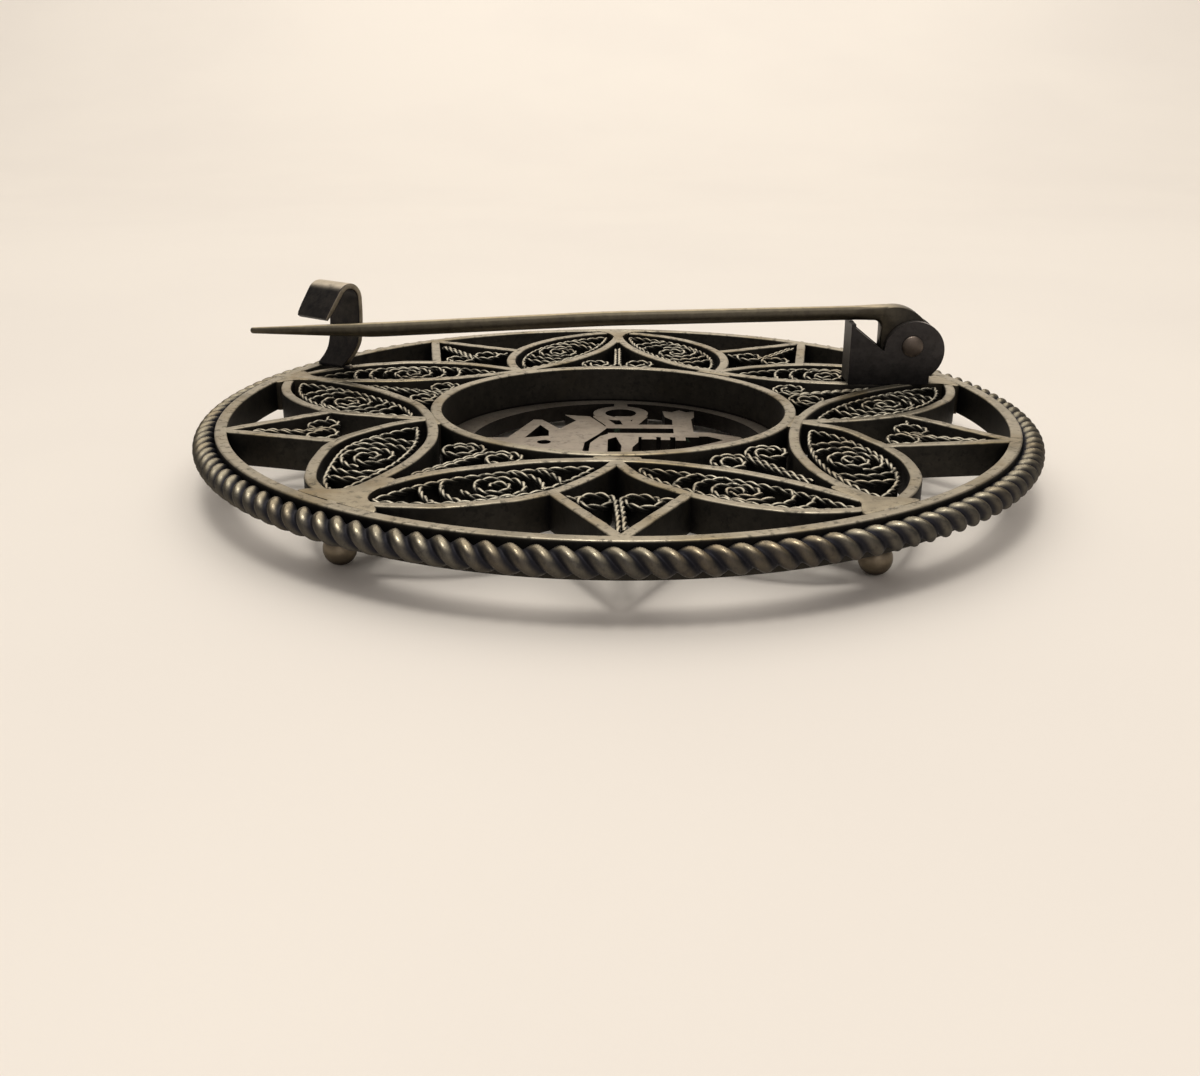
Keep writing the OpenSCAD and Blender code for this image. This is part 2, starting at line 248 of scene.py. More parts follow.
# %% [markdown]
# ## Oxidised silver
# All the metal is one silver, blackened with sulphur and then worn: black in the recesses, grey and a
# little yellow where fingers and cloth have polished it. One material builder makes each finish. It mixes a
# dark and a bright colour by a mask of three things: whether the surface faces up, how open it is (ambient
# occlusion), and noise, which breaks the edge of the wear. The facing part paints light too: faces that
# look up get painted highlight as well as polish, and upright walls get painted shade as well as oxide.
# Fine scratches and pits go in as bump. Painting textures by hand would work too, but noise in object space
# needs no unwrapping and stays in place when the pin swings.


# %% Node helpers
def feed(tree, socket, value):
    """A socket linked to another, or set to a value."""
    if isinstance(value, bpy.types.NodeSocket):
        tree.links.new(value, socket)
    else:
        socket.default_value = value


def add(tree, kind, **values):
    """A node with its sockets and settings given by name."""
    node = tree.nodes.new(kind)
    for name, value in values.items():
        if name in node.inputs:
            feed(tree, node.inputs[name], value)
        else:
            setattr(node, name, value)
    return node


def maths(tree, operation, *inputs, clamp=False):
    """A sum or the like, of sockets or numbers."""
    node = add(tree, "ShaderNodeMath", operation=operation, use_clamp=clamp)
    for socket, value in zip(node.inputs, inputs):
        feed(tree, socket, value)
    return node.outputs[0]


def slant(tree, first, second):
    """The longest side of a right-angled triangle, from the other two."""
    sides = [maths(tree, "MULTIPLY", side, side) for side in (first, second)]
    return maths(tree, "SQRT", maths(tree, "ADD", *sides))


def between(tree, value, low, high, to_low=0.0, to_high=1.0):
    """The value spread from one range to another, smoothly and with its ends held."""
    ends = {"From Min": low, "From Max": high, "To Min": to_low, "To Max": to_high}
    return add(tree, "ShaderNodeMapRange", interpolation_type="SMOOTHSTEP", Value=value, **ends).outputs[0]


def blend(tree, share, first, second):
    """A colour between two, by the share of the second."""
    node = add(tree, "ShaderNodeMix", data_type="RGBA")
    for number, value in ((0, share), (6, first), (7, second)):
        feed(tree, node.inputs[number], (*value, 1) if isinstance(value, tuple) else value)
    return node.outputs[2]


def noise(tree, place, scale, detail=3.0, roughness=0.55):
    """Noise at so many features a metre."""
    node = add(tree, "ShaderNodeTexNoise", Vector=place, Scale=scale, Detail=detail, Roughness=roughness)
    return node.outputs[0]


print("noise of scale 1000 has features of", 1 / 1000 / MM, "mm")

# %% [markdown]
# ## Where silver is worn, and where light and shade are painted
# Wear follows simple rules, and the same rules paint light and shade. Faces that look up are bright, partly
# polish from cloth and partly painted highlight; walls are dark, partly oxide and partly painted shade. A
# piece can also fade darker along one axis, and on a rope only the crests of the strands are bright, wear
# and painted highlight together. A painted mask would do, but rules made of nodes fit every piece. Noise
# then adds dark pits and green tarnish.

# %% Wear with painted light and shade, relief and green
EDGE_FROM, EDGE_TO, EDGE_SHARE = 0.8, 0.97, 0.8
FADED_SHARE = 0.15
VERDIGRIS = (0.10, 0.17, 0.11)


def wear_and_light(tree, spot, top, side, up, edge_way, fade_along, crest):
    """Brightness from facing and place: wear with painted highlight and shade. silver() explains the
    values.
    """
    place, normal = spot.outputs["Object"], spot.outputs["Normal"]
    # Faces that look up get the top share and walls the side share: wear and oxide with painted highlight
    # on tops and painted shade on walls.
    facing = add(tree, "ShaderNodeSeparateXYZ", Vector=normal).outputs[2]
    share = between(tree, facing, *up, side, top)
    # One more facing is made lighter: the near edge of the catch strap.
    if edge_way:
        along = add(tree, "ShaderNodeVectorMath", operation="DOT_PRODUCT")
        feed(tree, along.inputs[0], normal)
        feed(tree, along.inputs[1], edge_way)
        edge = between(tree, along.outputs["Value"], EDGE_FROM, EDGE_TO, 0.0, EDGE_SHARE)
        share = maths(tree, "MAXIMUM", share, edge)
    # Brightness fades along one axis: painted shade towards the pin's knuckle, darker towards the bottom of
    # the hinge, and only the top of a wire stays bright.
    if fade_along:
        axis, least, most = fade_along
        where = add(tree, "ShaderNodeSeparateXYZ", Vector=place).outputs[axis]
        share = maths(tree, "MULTIPLY", share, between(tree, where, least * MM, most * MM, FADED_SHARE))
    # Only the crests stay bright: wear together with painted highlight.
    if crest:
        in_round, height, least, most = crest
        x, y, z = add(tree, "ShaderNodeSeparateXYZ", Vector=place).outputs
        beside = maths(tree, "SUBTRACT", slant(tree, x, y), in_round * MM)
        above = maths(tree, "SUBTRACT", z, height * MM)
        away = slant(tree, beside, above)
        share = maths(tree, "MULTIPLY", share, between(tree, away, least * MM, most * MM))
    return share


def pitted(tree, place, mask, specks):
    """The mask with dark pits and duller clouds taken out of it."""
    pits = between(tree, noise(tree, place, 2600, 5, 0.65), 0.52, 0.66, 0.0, specks)
    clouds = between(tree, noise(tree, place, 420, 4, 0.6), 0.5, 0.72, 0.0, 0.55 * specks)
    return maths(tree, "MULTIPLY", mask, maths(tree, "SUBTRACT", 1.0, maths(tree, "MAXIMUM", pits, clouds)))


def greened(tree, place, hollow, colour, green):
    """The colour with green specks where the surface is least open."""
    specks = between(tree, noise(tree, place, 620, 4, 0.6), 0.66, 0.74, 0.0, green)
    damp = maths(tree, "MULTIPLY", specks, between(tree, hollow, 0.9, 0.5))
    return blend(tree, damp, colour, VERDIGRIS)


def scratched(tree, place):
    """A bump of fine scratches and finer pits."""
    drawn_out = add(tree, "ShaderNodeMapping", Vector=place, Scale=(1, 9, 5)).outputs[0]
    scratches = maths(tree, "MULTIPLY", noise(tree, drawn_out, 900, 4, 0.6), 0.6)
    pits = maths(tree, "MULTIPLY", noise(tree, place, 5200, 3, 0.6), 0.5)
    relief = maths(tree, "ADD", scratches, pits)
    return add(tree, "ShaderNodeBump", Strength=0.35, Distance=0.04 * MM, Height=relief).outputs[0]


print("edges are rubbed within", round(math.degrees(math.acos(EDGE_FROM))), "degrees")


# %% Silver finish builder
def silver(name, bright, dark, top=1.0, side=0.12, up=(0.15, 0.85), openness=(0.35, 0.85), reach=0.9,
           rough=(0.62, 0.36), tarnish=(0.30, 0.22, 0.12), tarnish_share=0.5, green=0.0, specks=0.0,
           edge_way=None, fade_along=None, crest=None):
    """Silver blackened and worn, with painted highlight and shade. top and side say how bright faces that
    look
    up or sideways are: wear and oxide with painted highlight on tops and painted shade on walls.

    edge_way is one more way to face that is made lighter. fade_along is (axis, from, to) in mm: the
    brightness is weak at from and whole at to. crest is (round, height, from, to) in mm for a wire that
    lies in a round: only what stands out from its middle line is bright. rough is (dark, bright)."""
    material = bpy.data.materials.new(name)
    material.use_nodes = True
    tree = material.node_tree
    tree.nodes.clear()
    spot = add(tree, "ShaderNodeTexCoord")
    place = spot.outputs["Object"]
    hollow = add(tree, "ShaderNodeAmbientOcclusion", samples=8, Distance=reach * MM).outputs["AO"]
    # The mask: wear and oxide with painted highlight and painted shade, held down where the metal is least
    # open.
    worn = maths(tree, "MULTIPLY", wear_and_light(tree, spot, top, side, up, edge_way, fade_along, crest),
                 between(tree, hollow, *openness))
    grain = noise(tree, place, 1700, 6, 0.7)
    broken = maths(tree, "MULTIPLY", maths(tree, "SUBTRACT", grain, 0.5), 0.9)
    ragged = maths(tree, "MULTIPLY", broken, maths(tree, "ADD", worn, 0.12))
    mask = maths(tree, "ADD", worn, ragged, clamp=True)
    if specks:
        mask = pitted(tree, place, mask, specks)
    patches = between(tree, noise(tree, place, 260, 3), 0.46, 0.68, 0.0, tarnish_share)
    colour = blend(tree, mask, dark, blend(tree, patches, bright, tarnish))
    if green:
        colour = greened(tree, place, hollow, colour, green)
    gloss = between(tree, mask, 0.0, 1.0, *rough)
    gloss = maths(tree, "ADD", gloss, maths(tree, "MULTIPLY", broken, 0.18), clamp=True)
    shader = add(tree, "ShaderNodeBsdfPrincipled", Metallic=1.0, Roughness=gloss,
                 Normal=scratched(tree, place), **{"Base Color": colour})
    add(tree, "ShaderNodeOutputMaterial", Surface=shader.outputs[0])
    print("finish:", name)
    return material


# %% [markdown]
# ## The finishes of this brooch
# The strips are brightest on top and nearly black on their walls: wear and oxide with painted highlight and
# painted shade. The rope and the wires are darker with bright ridges, wear and painted highlight together.
# The plaque is dull and a little brown, with painted shade near the ring wall, and the hinge and catch are
# close to black. The pin was last polished long ago: its upper side shines like old brass, polish and
# painted highlight together, and it darkens towards the knuckle as painted shade.

# %% Finishes
OUTER_R, ROPE_R = 22.0, 0.65
ROPE_PATH_R, ROPE_Z = OUTER_R - ROPE_R, BACK_Z - 0.75
CATCH_EDGE_WAY, SATIN = (0.819, -0.574, 0), (0.5, 0.36)
# In every finish below, the top and side shares paint faces that look up brighter and walls darker: wear
# and oxide with painted highlight and painted shade.
strip_silver = silver(
    "strip silver", (0.40, 0.36, 0.275), (0.019, 0.018, 0.017), top=0.95, side=0.06, specks=0.6,
    tarnish=(0.26, 0.205, 0.11), tarnish_share=0.75)
# The rope's crests are bright and its flanks dark: wear and oxide with painted highlight and painted shade.
rope_silver = silver(
    "rope silver", (0.37, 0.33, 0.24), (0.024, 0.024, 0.029), side=0.24, up=(0.45, 0.95),
    openness=(0.6, 0.97), reach=0.5, rough=(0.62, 0.25), specks=0.35,
    crest=(ROPE_PATH_R, ROPE_Z, 0.42, 0.6))
# Only the top line of each wire is bright and it is darker lower down: wear together with painted
# highlight.
wire_silver = silver(
    "wire silver", (0.58, 0.54, 0.43), (0.013, 0.0125, 0.011), side=0.08, up=(0.6, 0.98),
    openness=(0.2, 0.75), reach=0.5, rough=(0.6, 0.32), green=0.5, specks=0.85, fade_along=("Z", 3.05, 3.2))
# The long reach of the openness paints shade on the plaque near the ring wall, on top of its oxide.
plaque_silver = silver(
    "plaque silver", (0.42, 0.37, 0.31), (0.014, 0.012, 0.0105), top=0.9, side=0.03,
    openness=(0.25, 0.75), reach=3.0, green=0.7, specks=0.35, tarnish=(0.24, 0.19, 0.14))
ball_silver = silver(
    "ball silver", (0.30, 0.25, 0.18), (0.06, 0.047, 0.033), top=0.7, side=0.6, openness=(0.2, 0.7),
    tarnish=(0.18, 0.13, 0.08), tarnish_share=0.8)
# The hinge is darker towards the bottom.
hinge_silver = silver(
    "hinge silver", (0.26, 0.24, 0.23), (0.012, 0.0115, 0.012), top=0.9, side=0.19, up=(0.3, 0.95),
    rough=SATIN, tarnish=(0.12, 0.09, 0.075), specks=0.25, fade_along=("Z", 3.3, 5.6))
# CATCH_EDGE_WAY makes the strap's near edge lighter.
catch_silver = silver(
    "catch silver", (0.56, 0.49, 0.38), (0.011, 0.011, 0.0135), side=0.04, up=(0.62, 0.97), rough=SATIN,
    tarnish=(0.22, 0.17, 0.11), specks=0.25, edge_way=CATCH_EDGE_WAY)
rivet_silver = silver(
    "rivet silver", (0.22, 0.18, 0.15), (0.03, 0.026, 0.024), top=0.8, side=0.5, rough=SATIN,
    tarnish=(0.14, 0.10, 0.07))
# The pin's upper side is bright, polish and painted highlight together, and it is painted darker towards
# the knuckle as painted shade.
pin_silver = silver(
    "pin silver", (0.52, 0.44, 0.29), (0.032, 0.029, 0.024), top=0.95, side=0.09, up=(0.8, 1.0),
    rough=(0.46, 0.3), tarnish=(0.31, 0.22, 0.09), tarnish_share=0.7, specks=0.3,
    fade_along=("X", 16.6, 14.4))
solder_silver = silver(
    "solder silver", (0.39, 0.34, 0.245), (0.03, 0.026, 0.02), top=0.95, side=0.08, rough=(0.6, 0.45),
    tarnish=(0.25, 0.19, 0.10), tarnish_share=0.8, specks=0.45)

# %% [markdown]
# ## The rim band and the middle ring
# The plain band carries everything, and the ring frames the plaque. A modifier could thicken two circles,
# but as strips they get the same worn edges as the star. The band's outer edge is filed down a little
# where the rope lies in it, which leaves a dark line between the two. The ring is not quite round.

# %% Rim band and middle ring
ROPE_LAP = 0.3
BAND_OUT_R = OUTER_R - 2 * ROPE_R + ROPE_LAP
BAND_W, FILED_W = 0.75, 0.62
BAND_IN_R = BAND_OUT_R - BAND_W
RING_IN_R, RING_W = 9.0, 0.6
RING_OUT_R = RING_IN_R + RING_W
band_line = arc((0, 0), BAND_IN_R + FILED_W / 2, 0, 360)[:-1]
ring_line = arc((0, 0), RING_IN_R + RING_W / 2, 0, 360)[:-1]
way_round = np.arctan2(ring_line[:, 1], ring_line[:, 0])
out_of_round = -0.25 * np.cos(way_round) + 0.2 * np.cos(2 * way_round) - 0.1 * np.sin(2 * way_round) - 0.04
ring_line *= 1 + (out_of_round / np.linalg.norm(ring_line, axis=1))[:, None]
band_and_ring = [strip(band_line, FILED_W, loop=True, seed=3, step=0.4, radius=0.1),
                 strip(ring_line, RING_W, RING_LOW, loop=True, seed=4, radius=0.1)]
print("inner radius of the band:", BAND_IN_R, "mm")

# %% [markdown]
# ## The star
# Five long arcs run from the rim to the ring and back to the rim. Under each one hang two petals, whose
# outer edges are tighter arcs, and between two petals a kite of straight strips points to the rim. The
# circles are worked out from a few distances, as in the CAD source, so the strips fall on the solids that
# they stand for.

# %% Star geometry
ARMS, ARM_TURN = 5, 72
SOLDER_LAP, TOUCH_GAP = 0.05, 0.4
TOUCH_R, TIP_R, PETAL_TIP_R = RING_OUT_R + TOUCH_GAP, BAND_IN_R - SOLDER_LAP, 19.9
HALF = math.radians(ARM_TURN / 2)
TIP_WAY = np.array([-math.sin(HALF), -math.cos(HALF)])
arc_rise = TIP_R * math.cos(HALF) - TOUCH_R
ARC_R = ((TIP_R * math.sin(HALF)) ** 2 + arc_rise**2) / (2 * arc_rise)
ARC_C = np.array([0, -TOUCH_R - ARC_R])

petal_from, petal_to = np.array([0, -TOUCH_R]), PETAL_TIP_R * TIP_WAY
petal_mid = (petal_from + petal_to) / 2
PETAL_L, PETAL_RISE = np.linalg.norm(petal_to - petal_from), 3.1
PETAL_R = (PETAL_L**2 / 4 + PETAL_RISE**2) / (2 * PETAL_RISE)
petal_along = (petal_to - petal_from) / PETAL_L
petal_out = np.array([-petal_along[1], petal_along[0]])
PETAL_C = petal_mid - (PETAL_R - PETAL_RISE) * petal_out
arc_behind = ARC_R - math.sqrt(ARC_R**2 - PETAL_L**2 / 4)
SCROLL_AT = petal_mid + (PETAL_RISE - arc_behind) / 2 * petal_out
KITE_HALF = 2.95
KITE_Y = PETAL_C[1] - math.sqrt(PETAL_R**2 - (KITE_HALF + PETAL_C[0]) ** 2)
print("radii of long arcs and petals:", round(ARC_R, 2), round(PETAL_R, 2), "mm")

# %% [markdown]
# ## A maker's hand
# No arm of a hand-made star is like the next. The strips were bent round a stake and pushed into place by
# eye, so here a petal is fuller and there a kite leans over. Random noise would look nervous instead. A
# short table for each arm says where a strip lies off its perfect line, and by how much. Whatever lies
# near a row is pulled along, so the wires stay inside their cell, and near the rim a line may slide along
# the band but not leave it.

# %% Pulls of the hand
# A row per place, in mm: where it should be (x, y), and how far it really lies off (x, y).
PULL_REACH, PULL_EASE = 2.0, 0.2
RIM_FROM, RIM_OVER = 18.7, 1.2
PULLS = {
    0: [(0, -10, 0, 0), (-5, -10.9, 0, 0.12), (-8.5, -12.8, 0, 0.38), (-1.5, -13.2, 0, 0.3),
        (-8, -16.8, 0, -0.1), (-3, -15, 0.25, -0.05), (3, -15, 0.25, -0.1), (0, -19, 0.28, 0),
        (2, -10.1, 0, -0.2), (4, -10.6, 0, -0.6), (6, -11.4, 0, -0.8), (8, -12.5, 0, -1.05),
        (10, -14.1, -0.2, -1.25), (11.9, -16.3, -0.8, -0.4), (4.5, -15.6, 0, -0.15), (8, -16.8, 0, -0.33)],
    1: [(9.5, -3, -0.22, 0), (8.9, -6, -0.15, 0), (8.9, -9, -0.27, 0), (9.5, -12, -0.4, 0),
        (10.5, -14, -0.45, 0), (13, -7, -0.35, 0), (13.8, -10, -0.35, 0), (13.6, -12, -0.2, 0),
        (12, -3, 0, 0.55), (14.5, -1.5, 0, 0.55), (17, 0, 0, 0.5), (18, 1.5, 0, 0.1),
        (16.5, -3.3, 0, -0.35), (18.5, -6.2, -0.3, 0.1), (11, 0, -0.25, 0)],
    4: [(-9.5, -3.1, -0.25, 0), (-8.9, -6, -0.25, 0), (-9, -10, -0.45, 0), (-10.3, -13, -0.7, 0),
        (-12, -5, -0.4, 0.1), (-13.8, -10, -0.12, 0), (-11.5, -3.1, 0, 0.9), (-13, -2.7, -0.1, 0.7),
        (-16, -1.1, 0, 0.25), (-13.2, -7.4, -0.6, 0.35), (-19.2, -6.2, 0.3, 1.3), (-15, -1.8, 0, 0)],
}
NO_PULL = [(0, 0, 0, 0)]


def by_hand(line, *arms):
    """A flat line pulled by the tables of one arm, or of two that meet."""
    line = np.array(line, float)
    shift = np.zeros_like(line)
    for arm in arms:
        rows = np.array(PULLS.get(arm % ARMS, NO_PULL), float)
        away = np.linalg.norm(line[:, None] - rows[None, :, :2], axis=2)
        pull = np.exp(-(away / PULL_REACH) ** 2)
        shift += pull @ rows[:, 2:] / (pull.sum(1)[:, None] + PULL_EASE) / len(arms)
    moved = line + shift
    far = np.linalg.norm(line, axis=1)
    hold = np.clip((far - RIM_FROM) / RIM_OVER, 0, 1)[:, None]
    on_rim = moved * (far / np.linalg.norm(moved, axis=1))[:, None]
    return moved * (1 - hold) + on_rim * hold


def placed(line, *arms, flip=False):
    """A line of the first arm turned to another, or to between two, and pulled by hand."""
    return by_hand(turned(line, sum(arms) / len(arms) * ARM_TURN, flip), *arms)


print("rows in the tables:", sum(len(rows) for rows in PULLS.values()))

# %% [markdown]
# ## Strips of the star
# We draw the perfect lines of one arm, turn them to each arm, pull them by hand and stand a strip on each.
# Where strips cross, their tops differ by a hundredth of a millimetre, because two faces at one height
# would flicker.


# %% Star strips
def angle_of(point, centre):
    """The way from a centre to a point, in degrees."""
    return math.degrees(math.atan2(point[1] - centre[1], point[0] - centre[0]))


PETAL_DOWN, KITE_DOWN, FLIP_DOWN = 0.012, 0.006, 0.01
tip_angle = angle_of((BAND_OUT_R - BAND_W / 2) * TIP_WAY, ARC_C)
long_arc = arc(ARC_C, ARC_R, 180 - tip_angle, tip_angle)
first, last = (angle_of(end, PETAL_C) % 360 for end in (petal_to, petal_from))
petal_edge = arc(PETAL_C, PETAL_R, first, last + (360 if last < first else 0))
kite_side = np.array([[-KITE_HALF, KITE_Y], [0, -BAND_IN_R - STRIP_W / 2]])
star = []
for arm in range(ARMS):
    star.append(strip(placed(long_arc, arm), seed=10 + arm))
    for flip in (False, True):
        edge = placed(petal_edge, arm, flip=flip)
        side = evenly(placed(kite_side, arm, flip=flip), 0.3)
        star.append(strip(edge, high=BACK_Z - PETAL_DOWN, seed=20 + 2 * arm + flip))
        star.append(strip(side, high=BACK_Z - KITE_DOWN - FLIP_DOWN * flip, seed=40 + 2 * arm + flip))
print("strips in the star:", len(star))

# %% [markdown]
# ## Solder
# Silver solder fills the seam where strips touch: a flat pool beside the ring, and a long tongue where two
# arcs run side by side to the rim. There it has been filed flush with the strips, so strips and solder
# read as one tan patch. Metaballs would flow like it but show no clean edge. A stack of shrinking outlines
# keeps the edge and still has a soft shoulder.


# %% Solder pools
def pool(outline, out, low, high, seed, arms):
    """A low block of solder with a soft shoulder, so far out on an arm or between two."""
    outline = outline * (1 + waver(len(outline), 0.04, seed, 5, True)[:, None])
    shoulder = ((low, 1.0), (high - 0.1, 1.0), (high - 0.035, 0.98), (high - 0.01, 0.93), (high, 0.85))
    rings = []
    for level, share in shoulder:
        rings.append(np.c_[placed(outline * share + (0, -out), *arms), np.full(len(outline), level)])
    return skin(np.array(rings))


SEAM_R, FAN_R = RING_OUT_R + 0.2, 18.5
FAN_WIDTHS = (1.0, 0.8, 0.7, 0.85, 1.45)
angles = all_round(40)
seam = np.c_[1.15 * np.tanh(2.5 * np.cos(angles)), 0.34 * np.tanh(2.5 * np.sin(angles))]
half_fan = np.array([[1.9, -1.75], [1.5, -1.25], [0.75, -0.75], [0.4, 0.1], [0.34, 1.2], [0.26, 2.2]])
fan = soften(evenly(np.vstack([half_fan, half_fan[::-1] * [-1, 1]]), 0.25, True), 4, True)
solder = []
for arm, width in enumerate(FAN_WIDTHS):
    solder.append(pool(seam, SEAM_R, STRIP_LOW + 0.05, BACK_Z - 0.02, seed=60 + arm, arms=[arm]))
    solder.append(pool(fan * [width, 1], FAN_R, STRIP_LOW + 0.02, BACK_Z + 0.012, seed=70 + arm,
                       arms=[arm, arm + 1]))
piece("openwork_strips", band_and_ring + star, strip_silver, stands_for=["openwork_frame"])
piece("solder_seams", solder, solder_silver)

# %% [markdown]
# ## Wire and rope
# A round wire is a tube: rings square to its line. Two wires twisted together are two tubes that circle
# one line half a turn apart. If their circle is tall and thin we get filigree wire, which a silversmith
# twists first and then flattens in a rolling mill. Curve objects could draw wires, but not the circling.


# %% Tubes and twists
def tube(points, side, radius, sides, loop=False):
    """A round wire along points in space. side is a way that is never along the wire."""
    ahead, _ = directions(points, loop)
    first = unit(side - (side * ahead).sum(1)[:, None] * ahead)
    second = np.cross(ahead, first)
    angles = all_round(sides)[None, :, None]
    out = np.cos(angles) * first[:, None] + np.sin(angles) * second[:, None]
    return skin(points[:, None] + radius * out, loop)


def twist(line, height, wire_r, aside, updown, pitch, sides=7, loop=False, per_turn=14, start=0.0):
    """Two wires twisted round a flat line at a height, as far aside and up and down as said."""
    line = evenly(line, pitch / per_turn, loop)
    _, left = directions(line, loop)
    length = np.linalg.norm(np.diff(line, axis=0), axis=1).sum()
    turns = max(1, round(length / pitch)) if loop else length / pitch
    angle = 2 * np.pi * (turns * np.linspace(0, 1, len(line), endpoint=not loop) + start)
    left = np.c_[left, np.zeros(len(line))]
    strands = []
    for half_turn in (0, np.pi):
        path = np.c_[line, np.full(len(line), height)]
        path += left * (aside * np.cos(angle + half_turn))[:, None]
        path[:, 2] += updown * np.sin(angle + half_turn)
        strands.append(tube(path, left, wire_r, sides, loop))
    return strands


print("faces of one wire in two turns:", len(twist([[0, 0], [2, 0]], 0, 0.1, 0.05, 0.1, 1)[0][1]))

# %% [markdown]
# ## The rope border
# The rope is two thick wires twisted so tightly that they have pressed each other flat. Seen from the
# front, the strands lean back like the stroke of a backslash, one every millimetre. Two tubes would leave
# deep gaps, so here one skin does it: a section with two lobes that turns as it goes along. The rope is
# let into the side of the rim band and soldered along it.

# %% Rope border
CREST_R, GROOVE_R, ROPE_PITCH = 0.64, 0.38, 2.0
ROPE_PER_TURN, ROPE_SIDES = 20, 40


def rope_skin(line, height):
    """Two pressed strands round a closed flat line as one skin."""
    line = evenly(line, ROPE_PITCH / ROPE_PER_TURN, True)
    count = len(line)
    _, left = directions(line, True)
    turns = round(2 * math.pi * np.linalg.norm(line[0]) / ROPE_PITCH)
    turn = 2 * np.pi * turns * np.arange(count) / count + waver(count, 0.16, 31, 40, True)
    around = all_round(ROPE_SIDES)
    lobes = GROOVE_R + (CREST_R - GROOVE_R) * np.abs(np.cos(around)) ** 1.35
    thick = 1 + waver(count, 0.012, 32, 30, True)
    sweep = around[None] + turn[:, None]
    reach = np.minimum(lobes[None] * thick[:, None], ROPE_R)
    flat = line[:, None] + (reach * np.cos(sweep))[..., None] * left[:, None]
    return skin(np.concatenate([flat, (height + reach * np.sin(sweep))[..., None]], 2), True)


rope_line = arc((0, 0), ROPE_PATH_R, 0, 360, 0.1)[:-1]
piece("rope_twist", [rope_skin(rope_line, ROPE_Z)], rope_silver, stands_for=["rope_border"],
      sharp=60)

# %% [markdown]
# ## Filigree wire
# Two fine wires are twisted and laid on a thin upright strip, so from above we see a row of small bright
# beads over a dark wall. Its lines are the ones of the CAD: a lining, a scroll and crescents in a petal,
# and a pair of scrolls on one stem in the kites and in the corners by the ring. A bump map could fake the
# beads, but real strands catch the light on each bead.

# %% Filigree wire
WIRE_TOP, WIRE_H, WIRE_PITCH = BACK_Z - 0.12, 1.1, 1.3
WIRE_R, BEAD_ASIDE, BEAD_UPDOWN = 0.095, 0.05, 0.085


def filigree(line, loop=False, seed=0):
    """Twisted wire on its thin upright strip along a flat line."""
    middle = WIRE_TOP - BEAD_UPDOWN - WIRE_R
    wires = twist(line, middle, WIRE_R, BEAD_ASIDE, BEAD_UPDOWN, WIRE_PITCH, loop=loop, start=0.13 * seed)
    wall = strip(line, 0.1, WIRE_TOP - WIRE_H, WIRE_TOP - 0.24, 0.03, loop=loop, seed=seed, step=0.25,
                 shake=0.2)
    return [*wires, wall]


def scroll(centre, radius, halves, shrink):
    """Half circles that wind inwards from the right, each smaller than the last."""
    parts = []
    for k in range(halves):
        upper = k % 2 == 0
        middle = np.array(centre) + [0 if upper else -shrink, 0]
        sweep = (0, 180) if upper else (180, 360)
        parts.append(arc(middle, radius - k * shrink, *sweep, 0.1)[k > 0:])
    return np.vstack(parts)


def runs(points, keep):
    """The stretches of a closed line where keep is true."""
    start = int(np.argmin(keep))
    points, keep = np.roll(points, -start, 0), np.roll(keep, -start)
    edges = np.flatnonzero(np.diff(np.r_[0, keep.astype(int), 0]))
    return [points[a:b] for a, b in zip(edges[::2], edges[1::2])]


def in_petal(points, inset):
    """Whether points lie inside a petal, that far from the middle of its strips."""
    near_arc = np.linalg.norm(points - ARC_C, axis=1) <= ARC_R - inset + 1e-9
    near_edge = np.linalg.norm(points - PETAL_C, axis=1) <= PETAL_R - inset + 1e-9
    return near_arc & near_edge


def petal_outline(inset):
    """The petal's pointed outline, that far inside the middle of its strips, as a closed line."""
    circles = [arc(centre, radius - inset, 0, 360, 0.05)[:-1]
               for centre, radius in ((ARC_C, ARC_R), (PETAL_C, PETAL_R))]
    return np.vstack([runs(circle, in_petal(circle, inset))[0] for circle in circles])


print("points on a petal outline:", len(petal_outline(0.6)))

# %% Petal filigree
LINING_AT = STRIP_W / 2 + 0.35 + 0.14
lining = soften(evenly(petal_outline(LINING_AT), 0.1, True), 6, True)
petal_turn = math.degrees(math.atan2(petal_along[1], petal_along[0]))
petal_scroll = turned(scroll((0, 0), radius=1.38, halves=4, shrink=0.33), petal_turn) + SCROLL_AT
petal_crescents = []
for radius in (2.2, 3.1):
    circle = arc(SCROLL_AT, radius, 0, 360, 0.05)[:-1]
    petal_crescents += runs(circle, in_petal(circle, LINING_AT))
for k in range(2 * ARMS):
    arm, flip = k // 2, bool(k % 2)
    parts = filigree(placed(lining, arm, flip=flip), loop=True, seed=k)
    parts += filigree(placed(petal_scroll, arm, flip=flip), seed=k + 3)
    for n, crescent in enumerate(petal_crescents):
        parts += filigree(placed(crescent, arm, flip=flip), seed=k + n)
    piece(f"petal_wirework_{k + 1}", parts, wire_silver,
          stands_for=[f"petal_filigree_{k + 1}"], sharp=80)


# %% Kite and corner filigree
def scroll_pair(out, stem_end, radius, halves, shrink, aside=0.12):
    """Two scrolls on one stem as two lines, the left one first."""
    stem = np.array([[-aside, -stem_end], [-aside, -out - 0.05]])
    left = np.vstack([evenly(stem, 0.1), scroll((-radius - aside, -out), radius, halves, shrink)])
    return [left, left * [-1, 1]]


